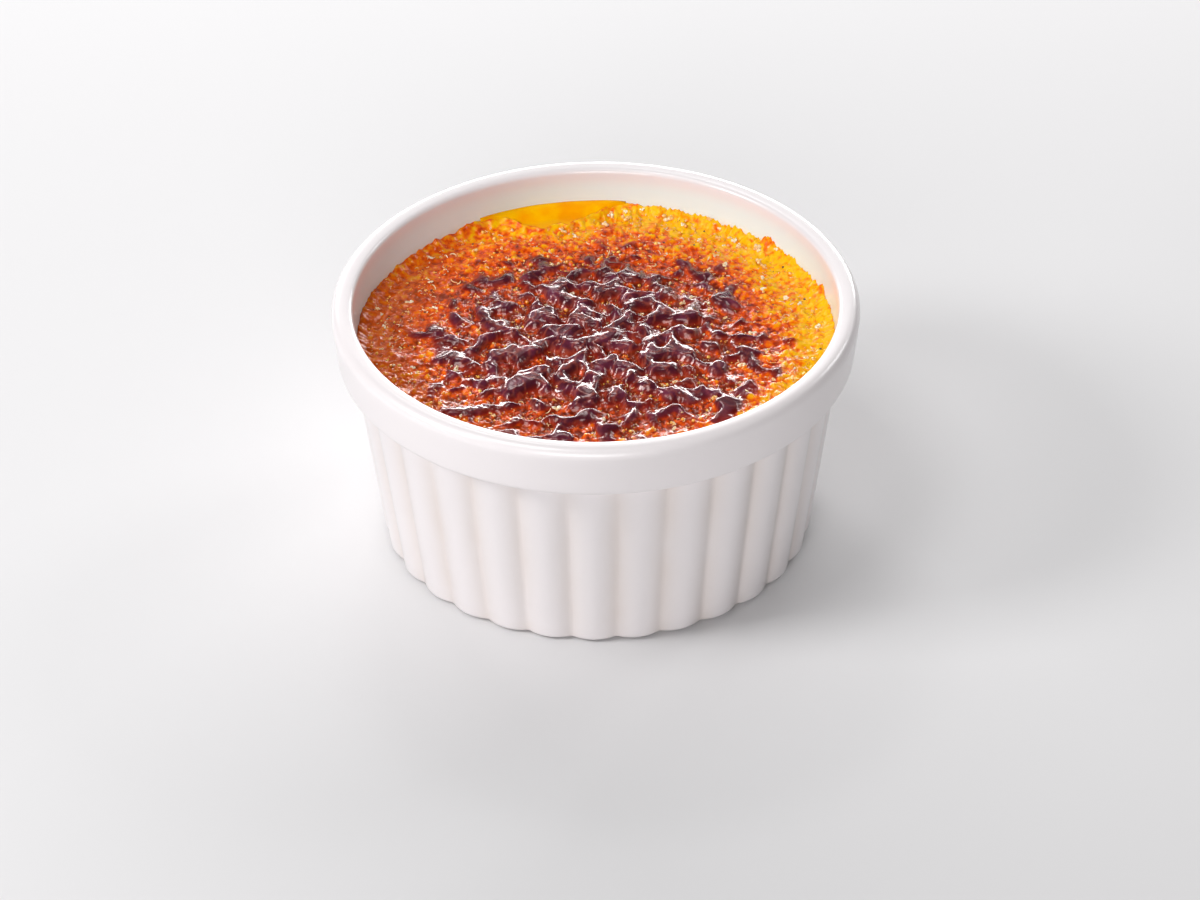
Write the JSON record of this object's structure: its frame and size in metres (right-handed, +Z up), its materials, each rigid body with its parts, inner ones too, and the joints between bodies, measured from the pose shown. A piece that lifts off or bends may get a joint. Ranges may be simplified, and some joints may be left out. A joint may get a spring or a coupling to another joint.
{
  "type": "creme brulee in a ramekin",
  "caption": "Baked custard under a blistered plate of burnt sugar, filling a round white porcelain ramekin with a plain band above a fluted wall; a single dessert portion.",
  "frame": {"origin": "middle of the ramekin's foot, on the plane that it stands on", "axes": "+Z up through the open top; the strip of custard left bare by the sugar lies towards +Y"},
  "size_m": [0.09, 0.09, 0.045],
  "materials": {
    "porcelain": "white vitreous porcelain under a clear gloss glaze",
    "custard": null,
    "caramel": null
  },
  "bodies": {
    "root": {"ramekin": "porcelain", "custard": "custard", "caramel_crust": "caramel"}
  },
  "joints": []
}
